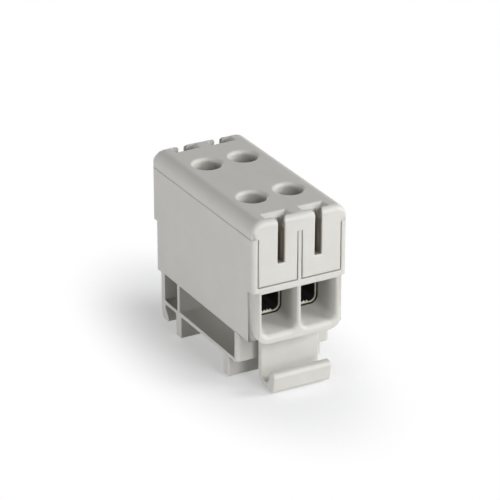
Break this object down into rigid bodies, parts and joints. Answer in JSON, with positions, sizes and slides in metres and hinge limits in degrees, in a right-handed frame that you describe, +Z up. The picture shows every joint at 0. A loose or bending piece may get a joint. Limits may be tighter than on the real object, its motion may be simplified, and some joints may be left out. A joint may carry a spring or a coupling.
{
  "type": "branch terminal",
  "caption": "Two-way branch terminal for a mounting rail, with funnel wire entries, clamping screws under driver holes, a snap-fit cover and a sliding rail latch.",
  "frame": {"origin": "middle of the rail seat, on the underside of the beam that lies on the mounting rail", "axes": "+X along the rail, +Y from the front wire entries to the back ones, +Z up, away from the rail"},
  "size_m": [0.023, 0.0479, 0.0409],
  "materials": {
    "grey_plastic": "satin light grey moulding",
    "tinned_metal": "dull tin plate on an extrusion",
    "screw_steel": "bright zinc plate"
  },
  "bodies": {
    "base": {"housing": "grey_plastic", "cover": "grey_plastic", "clamp_block": "tinned_metal"},
    "latch": {"rail_latch": "grey_plastic"},
    "screw_1": {"screw_front_left": "screw_steel"},
    "screw_2": {"screw_front_right": "screw_steel"},
    "screw_3": {"screw_back_left": "screw_steel"},
    "screw_4": {"screw_back_right": "screw_steel"}
  },
  "joints": [
    {"name": "latch_slide", "type": "slide", "parent": "base", "child": "latch", "axis": [0, -1, 0], "range_m": [0, 0.003]},
    {"name": "screw_front_left_travel", "type": "slide", "parent": "base", "child": "screw_1", "axis": [0, 0, -1], "range_m": [0, 0.0072]},
    {"name": "screw_front_right_travel", "type": "slide", "parent": "base", "child": "screw_2", "axis": [0, 0, -1], "range_m": [0, 0.0072]},
    {"name": "screw_back_left_travel", "type": "slide", "parent": "base", "child": "screw_3", "axis": [0, 0, -1], "range_m": [0, 0.0072]},
    {"name": "screw_back_right_travel", "type": "slide", "parent": "base", "child": "screw_4", "axis": [0, 0, -1], "range_m": [0, 0.0072]}
  ]
}
